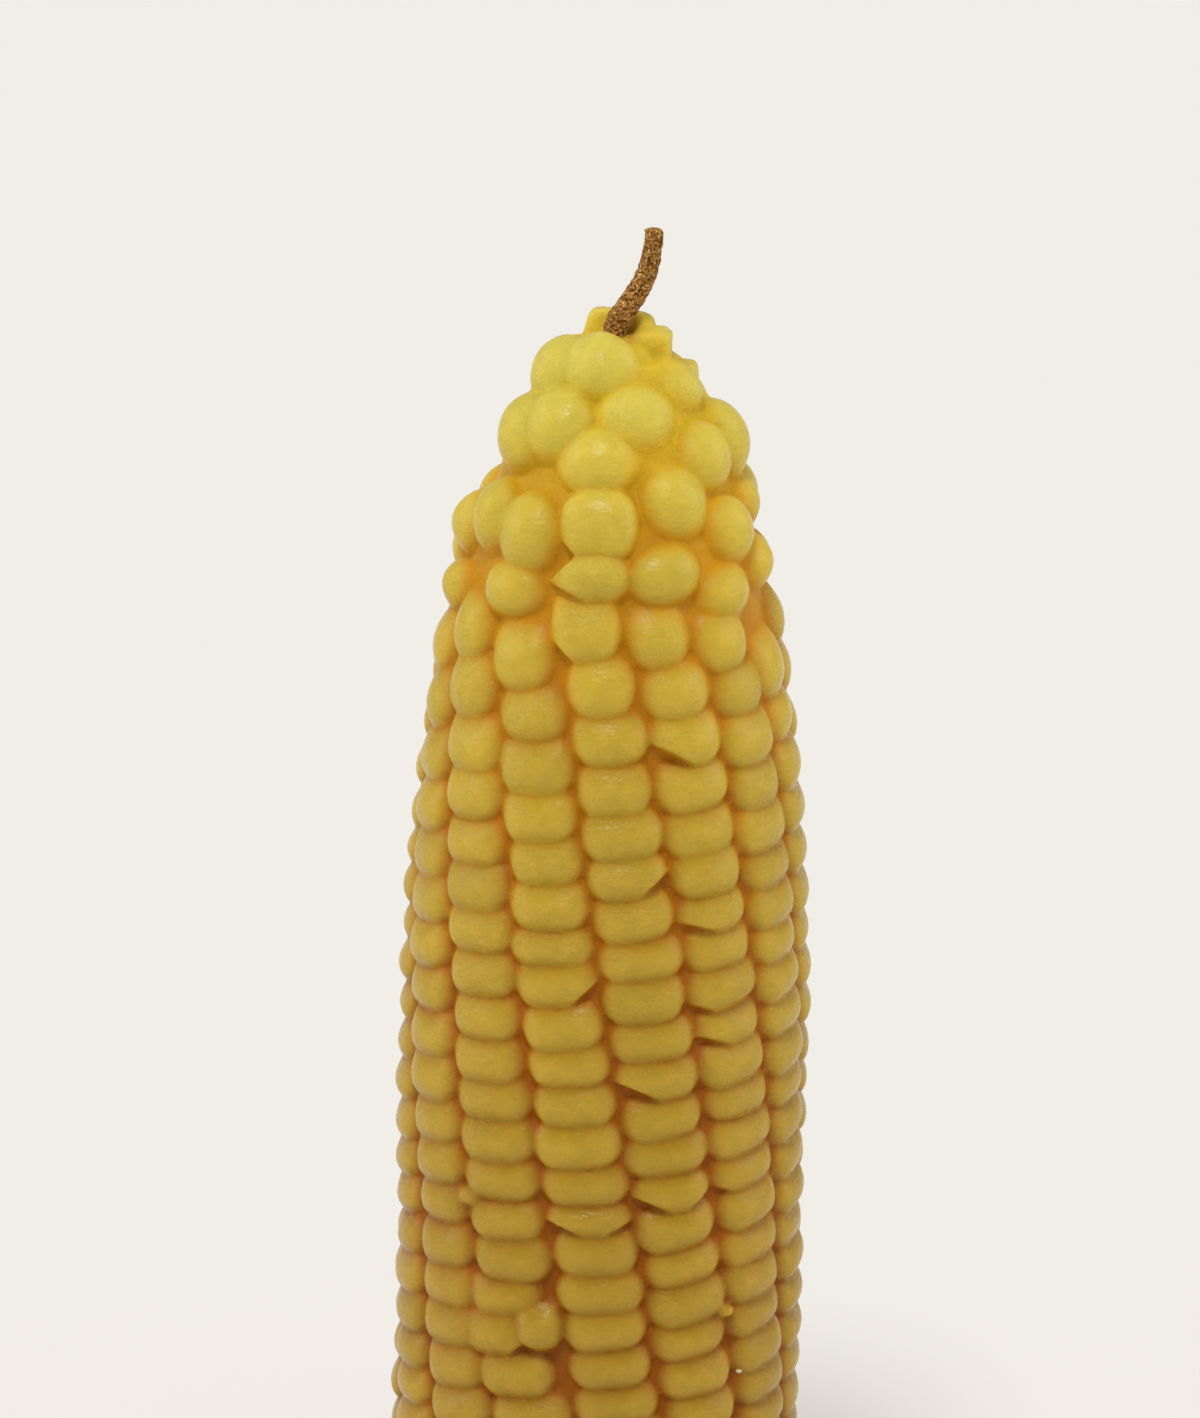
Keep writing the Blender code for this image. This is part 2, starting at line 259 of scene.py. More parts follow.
for row, (start, stretch) in enumerate(ROW_STARTS):
    height = start
    place_in_row = 0
    while height > LOWEST_KERNEL:
        usual = 'ball' if place_in_row < BALL_KERNELS else 'whole'
        shape, room = ODD_KERNELS.get((row, place_in_row), (usual, 1.0))
        pitch = (PITCH + TOP_PITCH_GAIN * math.exp(-place_in_row / PITCH_FADE)) * stretch * room
        azimuth = (FRONT_ROW_AZIMUTH + row * 360 / ROWS + TWIST_PER_MM * (MIDDLE_HEIGHT - height)
                   - TOP_SWEEP * math.exp(-SWEEP_FADE * place_in_row)
                   + PUSHED_ASIDE.get((row, place_in_row), 0.0))
        radius = read_off(EAR_OUTLINE, height)
        wider = read_off(EAR_OUTLINE, height - SLOPE_SPAN) - read_off(EAR_OUTLINE, height + SLOPE_SPAN)
        rise = math.atan2(wider, 2 * SLOPE_SPAN)
        set_kernel(kernel_shapes[shape], azimuth, radius - KERNEL_HALF_DEPTH * math.cos(rise),
                   height - KERNEL_HALF_DEPTH * math.sin(rise), rise + KERNEL_LIFT,
                   2 * math.pi * radius / ROWS * KERNEL_SIDE_OVERLAP, pitch * KERNEL_END_OVERLAP)
        height -= pitch
        place_in_row += 1
for azimuth, reach, height, width, length, depth in CROWDED_KERNELS + SPILT_WAX:
    set_kernel(row_kernel, azimuth, reach, height, KERNEL_LIFT, width, length, depth)


# ---------------------------------------------------------------------------------------------------------
# The kernels of the tip
# Toward the tip the rows end and the kernels are loose, fat and almost round, as on a real ear. They are cast
# with the rest. The back of the tip repeats the front, with a few more kernels in the widest of the gaps
# that leaves; the wax between them is smooth.

TIP_RISE = math.radians(14)
TIP_HALF_DEPTH = 4.0
TIP_OVERLAP = 1.17
# Azimuth, reach of the middle from the axis, its height, width and length
TOP_KERNELS = ((-21, 5.6, 157.9, 8.0, 8.0), (-64, 6.4, 157.2, 7.6, 8.0), (62, 6.6, 155.3, 7.2, 6.6),
               (165, 5.0, 157.8, 8.4, 7.2), (-118, 5.6, 156.6, 7.6, 7.6), (115, 5.0, 155.4, 7.4, 7.0))
SIDE_KERNELS = ((-62, 10.6, 151.0, 8.2, 8.8), (-38, 9.6, 152.2, 8.3, 8.3), (13, 8.6, 153.0, 8.6, 8.1),
                (-10, 10.8, 148.9, 8.3, 8.2), (54, 11.0, 148.9, 7.8, 7.8), (87, 10.9, 149.7, 7.8, 8.6),
                (90, 12.6, 142.4, 7.4, 6.7), (29, 12.3, 144.5, 7.8, 8.3), (-39, 13.7, 140.8, 7.4, 8.8),
                (-62, 13.4, 141.5, 7.2, 8.2), (-86, 14.6, 139.5, 7.4, 7.1), (58, 13.8, 140.8, 7.8, 7.6),
                (76, 14.6, 136.2, 7.2, 6.9), (49, 15.0, 134.5, 8.0, 7.1), (20, 14.7, 137.2, 8.0, 6.8),
                (-42, 15.0, 134.7, 8.0, 6.9), (-84, 15.3, 132.6, 7.6, 6.4), (127, 9.6, 150.2, 8.0, 8.0),
                (113, 13.2, 142.6, 8.0, 7.8), (105, 14.2, 135.6, 7.6, 7.0), (-104, 6.8, 151.8, 8.0, 8.0),
                (-112, 9.4, 145.4, 7.8, 7.8), (-107, 15.0, 135.4, 7.4, 6.8))
NICKED_KERNEL = (-7, 13.2, 142.4, 7.7, 7.4)
POINTED_KERNEL = (-9, 14.7, 137.0, 8.2, 6.2)
# Front kernels nearer to the middle than this, in degrees, are repeated at the back
REPEATED_WITHIN = 60

tip_kernel = model_kernel('tip_kernel', 0.66, 1.0)
square_kernel = model_kernel('square_kernel', 0.5, 0.96)
nicked = chip(square_kernel, 'nicked_kernel', 'nicked')
pointed = chip(tip_kernel, 'pointed_kernel', 'cut_left', 'cut_above')


def set_tip_kernel(shape, azimuth, reach, height, width, length):
    set_kernel(shape, azimuth, reach, height, TIP_RISE, width * TIP_OVERLAP, length * TIP_OVERLAP,
               TIP_HALF_DEPTH)


for kernel in TOP_KERNELS + SIDE_KERNELS:
    set_tip_kernel(tip_kernel, *kernel)
set_tip_kernel(nicked, *NICKED_KERNEL)
set_tip_kernel(pointed, *POINTED_KERNEL)
for azimuth, *rest in SIDE_KERNELS + (NICKED_KERNEL, POINTED_KERNEL):
    if abs(azimuth) < REPEATED_WITHIN:
        set_tip_kernel(tip_kernel, azimuth + 180, *rest)


# ---------------------------------------------------------------------------------------------------------
# The torn wax round the wick
# The top of the casting, where the silk grew on the real ear. The beeswax stands up behind the wick in a
# torn, flat-topped wall, with a broken ledge on the right, and it set in a low mound at the wick's foot.

# Azimuth, reach, height, width, length and half depth
TORN_WAX = ((176, 2.4, 161.3, 8.0, 4.8, 1.6), (84, 3.8, 160.2, 4.4, 4.2, 2.2),
            (82, 4.9, 161.4, 2.4, 1.4, 1.3), (80, 6.6, 156.7, 5.2, 4.6, 2.4),
            (140, 3.0, 161.5, 3.8, 4.4, 1.5), (-140, 4.0, 160.9, 2.6, 2.8, 1.2))
MOUND = (0, 0.0, 158.9, 10.0, 5.6, 4.8)

torn_lump = model_kernel('torn_lump', 0.3, 1.0)
for azimuth, reach, height, width, length, depth in TORN_WAX:
    set_kernel(torn_lump, azimuth, reach, height, 0.0, width, length, depth)
set_kernel(tip_kernel, *MOUND[:3], 0.0, *MOUND[3:])


# ---------------------------------------------------------------------------------------------------------
# The casting
# Core and kernels are one pour of beeswax, so they run together in soft fillets. Beeswax is cast hot into the
# mould and comes out with a satin skin that shows the kernels' fine wrinkles and the mould's scratches.

VOXEL = 0.3
SMOOTHING = 4
CAST_TRIANGLES = 188000
# Passes that flatten a copy of the skin, and how far under or over that copy a hollow or a rim is full
SOFTENING = 24
HOLLOW_FULL = 0.4
RIM_FULL = 0.4
# A groove is part crease, which counts for less at the crowns, and part depth under the ear's outline
CREASE_SHARE = 0.36
CREASE_AT_CROWN = 0.3
SHALLOW = 0.2
DEEP = 1.9

leave_edit_mode()
for part, middle in placed:
    part.select_set(True)
core.select_set(True)
bpy.context.view_layer.objects.active = core
bpy.ops.object.join()
for shape in list(kernel_shapes.values()) + [tip_kernel, square_kernel, nicked, pointed, torn_lump]:
    bpy.data.objects.remove(shape)
wax = core
wax.name = 'beeswax_casting'


def apply_modifier(piece, kind, **settings):
    """Add a modifier with its settings to a piece and apply it."""
    take(piece)
    modifier = piece.modifiers.new(kind.lower(), kind)
    for setting, value in settings.items():
        setattr(modifier, setting, value)
    bpy.ops.object.modifier_apply(modifier=modifier.name)


apply_modifier(wax, 'REMESH', mode='VOXEL', voxel_size=VOXEL * MM)
apply_modifier(wax, 'SMOOTH', factor=0.5, iterations=SMOOTHING)
triangles = sum(len(face.vertices) - 2 for face in wax.data.polygons)
apply_modifier(wax, 'DECIMATE', ratio=min(1.0, CAST_TRIANGLES / triangles))
take(wax)
bpy.ops.object.mode_set(mode='EDIT')
bpy.ops.mesh.select_all(action='SELECT')
bpy.ops.mesh.bisect(plane_co=(0, 0, 0), plane_no=(0, 0, 1), use_fill=True, clear_inner=True,
                    threshold=0.0001 * MM)
bpy.ops.object.mode_set(mode='OBJECT')


def read_vectors(mesh, kind):
    """The places or the normals of a mesh's points, one row each."""
    values = np.empty(len(mesh.vertices) * 3)
    mesh.vertices.foreach_get(kind, values)
    return values.reshape(-1, 3)


def write_layer(mesh, name, values):
    mesh.attributes.new(name, 'FLOAT', 'POINT').data.foreach_set('value', values.astype(np.float32))


# How far each point lies in a groove: below a much smoothed copy of the skin, and below the ear's outline
points = read_vectors(wax.data, 'co')
soft_copy = wax.copy()
soft_copy.data = wax.data.copy()
bpy.context.scene.collection.objects.link(soft_copy)
apply_modifier(soft_copy, 'SMOOTH', factor=0.9, iterations=SOFTENING)
hollow = ((read_vectors(soft_copy.data, 'co') - points) * read_vectors(wax.data, 'normal')).sum(axis=1) / MM
bpy.data.objects.remove(soft_copy)
outline_heights, outline_radii = zip(*EAR_OUTLINE)
reach = np.hypot(points[:, 0], points[:, 1]) / MM
depth = np.interp(points[:, 2] / MM, outline_heights, outline_radii) - reach
crease = np.clip(hollow / HOLLOW_FULL, 0, 1) * np.clip(depth / DEEP + CREASE_AT_CROWN, 0, 1)
sunk = np.clip((depth - SHALLOW) / (DEEP - SHALLOW), 0, 1)
groove = np.clip(CREASE_SHARE * crease + (1 - CREASE_SHARE) * sunk, 0, 1)
# The groove layer marks where the wax is painted darker and orange, as painted shade and glow
write_layer(wax.data, 'groove', groove)
# The rim layer marks where the thin rims are painted lighter, as painted light through them
write_layer(wax.data, 'rim', np.clip(-hollow / RIM_FULL, 0, 1))
# Each kernel is a little lighter or darker than the next
middles = kdtree.KDTree(len(placed))
for number, (part, middle) in enumerate(placed):
    middles.insert(middle, number)
middles.balance()
tints = [chance.random() for kernel in placed]
write_layer(wax.data, 'kernel_tint', np.array([tints[middles.find(point)[1]] for point in points]))
take(wax)
bpy.ops.object.shade_smooth()


def linear(hex_colour):
    """An sRGB hex colour as linear RGBA."""
    channels = [int(hex_colour[i:i + 2], 16) / 255 for i in (1, 3, 5)]
    return tuple(c / 12.92 if c <= 0.04045 else ((c + 0.055) / 1.055) ** 2.4 for c in channels) + (1.0,)


def add_node(tree, kind, links=None, values=None, stops=None, **settings):
    """Add a node with its settings, its sockets' links and values, and a ramp's stops."""
    node = tree.nodes.new(kind)
    for name, value in settings.items():
        setattr(node, name, value)
    for name, value in (values or {}).items():
        node.inputs[name].default_value = value
    for name, source in (links or {}).items():
        tree.links.new(source, node.inputs[name])
    for number, (place, colour) in enumerate(stops or ()):
        elements = node.color_ramp.elements
        element = elements[number] if number < len(elements) else elements.new(place)
        element.position = place
        element.color = linear(colour)
    return node


def new_material(name):
    made = bpy.data.materials.new(name)
    made.use_nodes = True
    made.node_tree.nodes.clear()
    return made, made.node_tree


# Beeswax, cast: a satin skin. Its colour is painted lighter and lemon yellow toward the tip, where it is
# thin, and ochre lower down: painted light from overhead and through the thin wax. The grooves are painted
# darker and orange: painted shade, and a painted glow of the light that soaks in and comes out there.
CROWN_COLOURS_AND_TOP_LIGHT = ((0.0, '#936F18'), (0.35, '#A37E1A'), (0.62, '#B19124'), (0.8, '#C0A32E'), (0.92, '#CDB840'),
                 (1.0, '#D2C452'))
GROOVE_SHADE_COLOURS = ((0.0, '#8A4A00'), (0.5, '#A05800'), (0.76, '#BA7800'), (0.86, '#C89008'), (0.94, '#D2AE20'),
                  (1.0, '#DABE36'))
# The lighter colour of the thin rims: painted light
RIM_LIGHT_COLOUR = '#DEC65C'
EAR_HEIGHT = 164.0
# The clouds in the wax, and the marks in its skin with their depths
MOTTLE = 1.6
GRAIN = 0.22
GRAIN_DEPTH = 0.015
WRINKLE = 1.5
WRINKLE_DEPTH = 0.18
CRINKLE = 0.55
CRINKLE_DEPTH = 0.22
CRINKLED_PATCH = 9.0
SCRATCH = (1.6, 1.2, 0.4)
SCRATCH_DEPTH = 0.14
# The stain round the wick: its middle, where it ends and where it is full
STAIN_MIDDLE = (0.3, -1.0, 161.5)
STAIN_REACH = 2.9
STAIN_FULL = 1.4
STAIN_COLOUR = '#B9822E'
# How far light soaks in
LIGHT_REACH = 2.4
# Specks of dirt and one of pale bloom: the place, the size in millimetres and the colour
SPECKS = (((13.25, -16.4, 108.0), 0.32, '#2A1608'), ((1.8, -12.9, 151.3), 0.2, '#6A3A0C'),
          ((16.3, -15.6, 44.4), 0.42, '#EFE6C4'), ((-6.1, 20.1, 88.0), 0.3, '#3A200C'))

beeswax, tree = new_material('cast_beeswax_satin')
place = add_node(tree, 'ShaderNodeTexCoord').outputs['Object']
height_node = add_node(tree, 'ShaderNodeSeparateXYZ', {0: place})
# The colours are read by height, so the tip is painted lighter: painted light from overhead
share_up = add_node(tree, 'ShaderNodeMath', {0: height_node.outputs['Z']}, {1: EAR_HEIGHT * MM},
                    operation='DIVIDE')
crown = add_node(tree, 'ShaderNodeValToRGB', {'Fac': share_up.outputs[0]}, stops=CROWN_COLOURS_AND_TOP_LIGHT)
groove_shade_colour = add_node(tree, 'ShaderNodeValToRGB', {'Fac': share_up.outputs[0]}, stops=GROOVE_SHADE_COLOURS)
groove_layer = add_node(tree, 'ShaderNodeAttribute', attribute_name='groove')
tint_layer = add_node(tree, 'ShaderNodeAttribute', attribute_name='kernel_tint')

mottle = add_node(tree, 'ShaderNodeTexNoise', {'Vector': place},
                  {'Scale': 1 / (MOTTLE * MM), 'Detail': 4.0, 'Roughness': 0.6})
ragged = add_node(tree, 'ShaderNodeMath', {0: mottle.outputs['Fac']}, {1: 0.3, 2: -0.15},
                  operation='MULTIPLY_ADD')
deep = add_node(tree, 'ShaderNodeMath', {0: groove_layer.outputs['Fac'], 1: ragged.outputs[0]},
                operation='ADD')
deep_soft = add_node(tree, 'ShaderNodeMapRange', {'Value': deep.outputs[0]},
                     {'From Min': -0.05, 'From Max': 0.72}, interpolation_type='SMOOTHSTEP')
# The grooves take the darker, oranger colour: painted shade and glow
body = add_node(tree, 'ShaderNodeMix', {0: deep_soft.outputs[0], 6: crown.outputs['Color'],
                                        7: groove_shade_colour.outputs['Color']}, data_type='RGBA')
# The thin rims of the kernels are painted lighter: painted light, for the light that comes through them
rim_layer = add_node(tree, 'ShaderNodeAttribute', attribute_name='rim')
rim_share = add_node(tree, 'ShaderNodeMath', {0: rim_layer.outputs['Fac']}, {1: 0.2}, operation='MULTIPLY')
body = add_node(tree, 'ShaderNodeMix', {0: rim_share.outputs[0], 6: body.outputs[2]}, {7: linear(RIM_LIGHT_COLOUR)},
                data_type='RGBA')
# Light and dark clouds, and the difference between kernels
cloud = add_node(tree, 'ShaderNodeMapRange', {'Value': mottle.outputs['Fac']},
                 {'From Min': 0.3, 'From Max': 0.7, 'To Min': 0.93, 'To Max': 1.07})
tint = add_node(tree, 'ShaderNodeMapRange', {'Value': tint_layer.outputs['Fac']},
                {'To Min': 0.95, 'To Max': 1.05})
tone = add_node(tree, 'ShaderNodeMath', {0: cloud.outputs[0], 1: tint.outputs[0]}, operation='MULTIPLY')
grain = add_node(tree, 'ShaderNodeTexNoise', {'Vector': place},
                 {'Scale': 1 / (GRAIN * MM), 'Detail': 3.0, 'Roughness': 0.65})
grain_tone = add_node(tree, 'ShaderNodeMapRange', {'Value': grain.outputs['Fac']},
                      {'From Min': 0.3, 'From Max': 0.7, 'To Min': 0.95, 'To Max': 1.05})
full_tone = add_node(tree, 'ShaderNodeMath', {0: tone.outputs[0], 1: grain_tone.outputs[0]},
                     operation='MULTIPLY')
shaded = add_node(tree, 'ShaderNodeVectorMath', {0: body.outputs[2], 'Scale': full_tone.outputs[0]},
                  operation='SCALE')
# The brown stain where the wick stands in the wax
from_wick = add_node(tree, 'ShaderNodeVectorMath', {0: place}, {1: Vector(STAIN_MIDDLE) * MM},
                     operation='DISTANCE')
near_wick = add_node(tree, 'ShaderNodeMapRange', {'Value': from_wick.outputs['Value']},
                     {'From Min': STAIN_REACH * MM, 'From Max': STAIN_FULL * MM, 'To Min': 0.0,
                      'To Max': 0.5}, interpolation_type='SMOOTHSTEP')
stained = add_node(tree, 'ShaderNodeMix', {0: near_wick.outputs[0], 6: shaded.outputs[0]},
                   {7: linear(STAIN_COLOUR)}, data_type='RGBA')
# The specks lie over the rest
colour = stained.outputs[2]
for spot, size, shade in SPECKS:
    away = add_node(tree, 'ShaderNodeVectorMath', {0: place}, {1: Vector(spot) * MM},
                    operation='DISTANCE')
    cover = add_node(tree, 'ShaderNodeMapRange', {'Value': away.outputs['Value']},
                     {'From Min': size * MM, 'From Max': size * 0.6 * MM, 'To Min': 0.0, 'To Max': 1.0})
    speck = add_node(tree, 'ShaderNodeMix', {0: cover.outputs[0], 6: colour}, {7: linear(shade)},
                     data_type='RGBA')
    colour = speck.outputs[2]

# Relief: wrinkles of the kernels' skin, finer crinkles in patches, scratches and grain
wrinkle = add_node(tree, 'ShaderNodeTexNoise', {'Vector': place},
                   {'Scale': 1 / (WRINKLE * MM), 'Detail': 2.0, 'Distortion': 0.6})
wrinkled = add_node(tree, 'ShaderNodeBump', {'Height': wrinkle.outputs['Fac']},
                    {'Distance': WRINKLE_DEPTH * MM, 'Strength': 0.6})
crinkle = add_node(tree, 'ShaderNodeTexNoise', {'Vector': place},
                   {'Scale': 1 / (CRINKLE * MM), 'Detail': 3.0, 'Roughness': 0.6, 'Distortion': 0.8})
patch = add_node(tree, 'ShaderNodeTexNoise', {'Vector': place},
                 {'Scale': 1 / (CRINKLED_PATCH * MM), 'Detail': 1.0})
crinkled_here = add_node(tree, 'ShaderNodeMapRange', {'Value': patch.outputs['Fac']},
                         {'From Min': 0.44, 'From Max': 0.6, 'To Min': 0.15, 'To Max': 1.0})
crinkle_height = add_node(tree, 'ShaderNodeMath', {0: crinkle.outputs['Fac'], 1: crinkled_here.outputs[0]},
                          operation='MULTIPLY')
crinkled = add_node(tree, 'ShaderNodeBump',
                    {'Height': crinkle_height.outputs[0], 'Normal': wrinkled.outputs[0]},
                    {'Distance': CRINKLE_DEPTH * MM, 'Strength': 0.8})
stretch_node = add_node(tree, 'ShaderNodeMapping', {'Vector': place},
                        {'Rotation': (0.5, 0.35, 0.0), 'Scale': [1 / (size * MM) for size in SCRATCH]})
scratch = add_node(tree, 'ShaderNodeTexNoise', {'Vector': stretch_node.outputs[0]},
                   {'Scale': 1.0, 'Detail': 3.0})
scratched = add_node(tree, 'ShaderNodeBump',
                     {'Height': scratch.outputs['Fac'], 'Normal': crinkled.outputs[0]},
                     {'Distance': SCRATCH_DEPTH * MM, 'Strength': 0.7})
grained = add_node(tree, 'ShaderNodeBump', {'Height': grain.outputs['Fac'], 'Normal': scratched.outputs[0]},
                   {'Distance': GRAIN_DEPTH * MM, 'Strength': 0.4})
# Satin on the crowns, duller in the grooves
satin = add_node(tree, 'ShaderNodeMapRange', {'Value': mottle.outputs['Fac']},
                 {'From Min': 0.35, 'From Max': 0.65, 'To Min': 0.16, 'To Max': 0.3})
dull = add_node(tree, 'ShaderNodeMath', {0: deep_soft.outputs[0], 2: satin.outputs[0]}, {1: 0.25},
                operation='MULTIPLY_ADD')
shader = add_node(tree, 'ShaderNodeBsdfPrincipled',
                  {'Base Color': colour, 'Roughness': dull.outputs[0], 'Normal': grained.outputs[0]},
                  {'IOR': 1.44, 'Specular IOR Level': 0.2, 'Subsurface Weight': 0.4,
                   'Subsurface Radius': (1.0, 0.7, 0.2), 'Subsurface Scale': LIGHT_REACH * MM})
add_node(tree, 'ShaderNodeOutputMaterial', {'Surface': shader.outputs['BSDF']})
wax.data.materials.clear()
wax.data.materials.append(beeswax)
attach(wax, 'root')
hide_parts('wax_body')


# ---------------------------------------------------------------------------------------------------------
# The wick
# A round braid of cotton, dipped in wax, cast into the candle and bent over where it comes out. Its plaits
# are matted with wax, short fibres lie on it, and its cut end is sealed blunt.

# The route's points, across and up, and the wick's radius there
WICK_ROUTE = ((0.0, 0.15, 1.2), (0.0, 60, 1.2), (0.0, 120, 1.2), (0.0, 150, 1.2), (-0.3, 158.0, 1.3),
              (-0.42, 161.3, 1.36), (-0.1, 162.9, 1.36), (0.66, 164.2, 1.32), (1.41, 165.4, 1.27),
              (2.06, 166.5, 1.22), (2.65, 167.7, 1.18), (3.16, 169.1, 1.13), (3.46, 170.6, 1.08),
              (3.66, 172.2, 1.06), (3.72, 173.7, 1.06))
WICK_SIDES = 56
BURIED_STEP = 4.0
SHOWN_STEP = 0.11
SHOWN_FROM = 159.0
PLAITS = 6
PLAIT_LENGTH = 1.9
PLAIT_RELIEF = 0.1
FELT_RELIEF = 0.16
FELT_FINENESS = 1.6
# The length over which the end rounds off, and the share of the width that is left at the very end
BLUNT_END = 0.45
SEALED_SHARE = 0.12
# The fibres, the height they start from, and the rings that stay free of them at the end
FIBRES = 260
FIBRES_FROM = 162
FREE_RINGS = 12
FIBRE_LENGTH = (0.5, 1.3)
FIBRE_RADIUS = 0.035
FIBRE_SLANT = (0.3, 1.1)
FIBRE_SUNK = 0.01
FIBRE_BOW = 0.12
# Rings ahead that give a fibre the wick's direction, and the step along the braid's map between fibres
LOOK_AHEAD = 6
FIBRE_MAP_STEP = 0.13
FRONT = Vector((0, -1, 0))


def smooth_route(points, steps):
    """A smooth curve through the points, with as many points in each stretch as steps says."""
    guide = [Vector(point) for point in points]
    guide = [guide[0] * 2 - guide[1], *guide, guide[-1] * 2 - guide[-2]]
    route = []
    for before, start, end, after in zip(guide, guide[1:], guide[2:], guide[3:]):
        rings = steps(start, end)
        for ring in range(rings):
            t = ring / rings
            route.append(0.5 * (2 * start + (end - before) * t
                                + (2 * before - 5 * start + 4 * end - after) * t ** 2
                                + (3 * start - 3 * end + after - before) * t ** 3))
    return route + [guide[-2]]


def ring_count(start, end):
    run = (end - start).length
    return max(1, round(run / (SHOWN_STEP if end[1] > SHOWN_FROM else BURIED_STEP)))


def plait_height(around, along):
    """Relief of the braid, from 0 in a gap to 1 on a strand: strands run both ways, over and under."""
    one = around * PLAITS + along / PLAIT_LENGTH * 2
    other = around * PLAITS - along / PLAIT_LENGTH * 2
    across = one if (math.floor(one) + math.floor(other)) % 2 else other
    return math.sin(math.pi * (across - math.floor(across)))


def centre(point):
    """The middle of the wick at a point of its route."""
    return Vector((point[0], 0, point[1]))


def away_from(along, turn):
    """The direction straight out of the wick at an angle round it, where it runs along."""
    side = FRONT.cross(along).normalized()
    return side * math.cos(turn) + FRONT * math.sin(turn)


def blunt_share(left):
    """The share of the full width that the wick has where this length of it is left."""
    if left >= BLUNT_END:
        return 1.0
    return max(math.sqrt(1 - (1 - left / BLUNT_END) ** 2), SEALED_SHARE)


braid = bmesh.new()
braid_map = braid.loops.layers.uv.new('braid')
route = smooth_route(WICK_ROUTE, ring_count)
lengths = [0.0]
for before, here in zip(route, route[1:]):
    lengths.append(lengths[-1] + (centre(here) - centre(before)).length)


def add_ring(number):
    """Make the ring of the braid's points at one point of the route."""
    here, radius = centre(route[number]), route[number][2]
    ahead = centre(route[min(number + 1, len(route) - 1)])
    along = (ahead - centre(route[max(number - 1, 0)])).normalized()
    share = blunt_share((centre(route[-1]) - here).length)
    ring = []
    for step in range(WICK_SIDES):
        out = away_from(along, 2 * math.pi * step / WICK_SIDES)
        felt = noise.fractal((here + out * radius) * FELT_FINENESS, 0.8, 2.0, 4) * FELT_RELIEF
        relief = (plait_height(step / WICK_SIDES, lengths[number]) - 1) * PLAIT_RELIEF + felt
        ring.append(braid.verts.new((here + out * (radius + relief) * share) * MM))
    return ring


def add_fibre(fibre, number, turn, slant, reach):
    """Lay a fibre on the braid at one point of the route: a thin spindle, bowed so that its ends go in."""
    here, radius = centre(route[number]), route[number][2]
    along = (centre(route[number + LOOK_AHEAD]) - here).normalized()
    out = away_from(along, turn)
    run = (along * math.cos(slant) + out.cross(along) * math.sin(slant)).normalized()
    middle = here + out * (radius - FIBRE_SUNK)
    bow = out * -FIBRE_BOW * reach
    thick = out.cross(run) * FIBRE_RADIUS
    ends = [braid.verts.new((middle + run * reach * sign + bow) * MM) for sign in (-1, 1)]
    waist = [braid.verts.new((middle + offset) * MM)
             for offset in (out * FIBRE_RADIUS * 2, thick, -out * FIBRE_RADIUS * 2, -thick)]
    for this, after in zip(waist, waist[1:] + waist[:1]):
        for corners in ((ends[0], after, this), (ends[1], this, after)):
            for loop in braid.faces.new(corners).loops:
                loop[braid_map].uv = (turn / (2 * math.pi), lengths[number] + fibre * FIBRE_MAP_STEP)


rings = [add_ring(number) for number in range(len(route))]
for number, (lower, upper) in enumerate(zip(rings, rings[1:])):
    for step in range(WICK_SIDES):
        after = (step + 1) % WICK_SIDES
        face = braid.faces.new((lower[step], upper[step], upper[after], lower[after]))
        corners = ((step, number), (step, number + 1), (step + 1, number + 1), (step + 1, number))
        for loop, (around, level) in zip(face.loops, corners):
            loop[braid_map].uv = (around / WICK_SIDES, lengths[level])
braid.faces.new(rings[0])
braid.faces.new(list(reversed(rings[-1])))
fluff = random.Random(5)
shown = [number for number, point in enumerate(route)
         if point[1] > FIBRES_FROM and number < len(route) - FREE_RINGS]
for fibre in range(FIBRES):
    number = fluff.choice(shown)
    turn = fluff.uniform(0, 2 * math.pi)
    slant = fluff.choice((-1, 1)) * fluff.uniform(*FIBRE_SLANT)
    add_fibre(fibre, number, turn, slant, fluff.uniform(*FIBRE_LENGTH) / 2)
bmesh.ops.recalc_face_normals(braid, faces=braid.faces)
wick_mesh = bpy.data.meshes.new('cotton_wick')
braid.to_mesh(wick_mesh)
braid.free()
wick = bpy.data.objects.new('cotton_wick', wick_mesh)
bpy.context.scene.collection.objects.link(wick)
take(wick)
bpy.ops.object.shade_smooth()

# Cotton braid soaked in wax and browned: tan on the strands, dark between them, which is partly the browned
# cotton and partly painted shade where the bump sinks. It is flecked where wax has matted it, and almost
# without shine
FLECK = 0.55
BRAID_DEPTH = 0.2

cotton, tree = new_material('waxed_cotton_braid')
on_braid = add_node(tree, 'ShaderNodeUVMap', uv_map='braid')
split = add_node(tree, 'ShaderNodeSeparateXYZ', {0: on_braid.outputs[0]})
slope = {}
for hand, sign in (('right', 1.0), ('left', -1.0)):
    slanted = add_node(tree, 'ShaderNodeMath', {0: split.outputs['Y']}, {1: sign * 2 / PLAIT_LENGTH},
                       operation='MULTIPLY')
    strand = add_node(tree, 'ShaderNodeMath', {0: split.outputs['X'], 2: slanted.outputs[0]},
                      {1: float(PLAITS)}, operation='MULTIPLY_ADD')
    slope[hand] = strand.outputs[0]
threads = add_node(tree, 'ShaderNodeCombineXYZ', {0: slope['right'], 1: slope['left']})
thread_noise = add_node(tree, 'ShaderNodeTexNoise', {'Vector': threads.outputs[0]},
                        {'Scale': 2.2, 'Detail': 4.0, 'Roughness': 0.7})
place = add_node(tree, 'ShaderNodeTexCoord').outputs['Object']
flecks = add_node(tree, 'ShaderNodeTexNoise', {'Vector': place},
                  {'Scale': 1 / (FLECK * MM), 'Detail': 4.0, 'Roughness': 0.75, 'Distortion': 1.5})
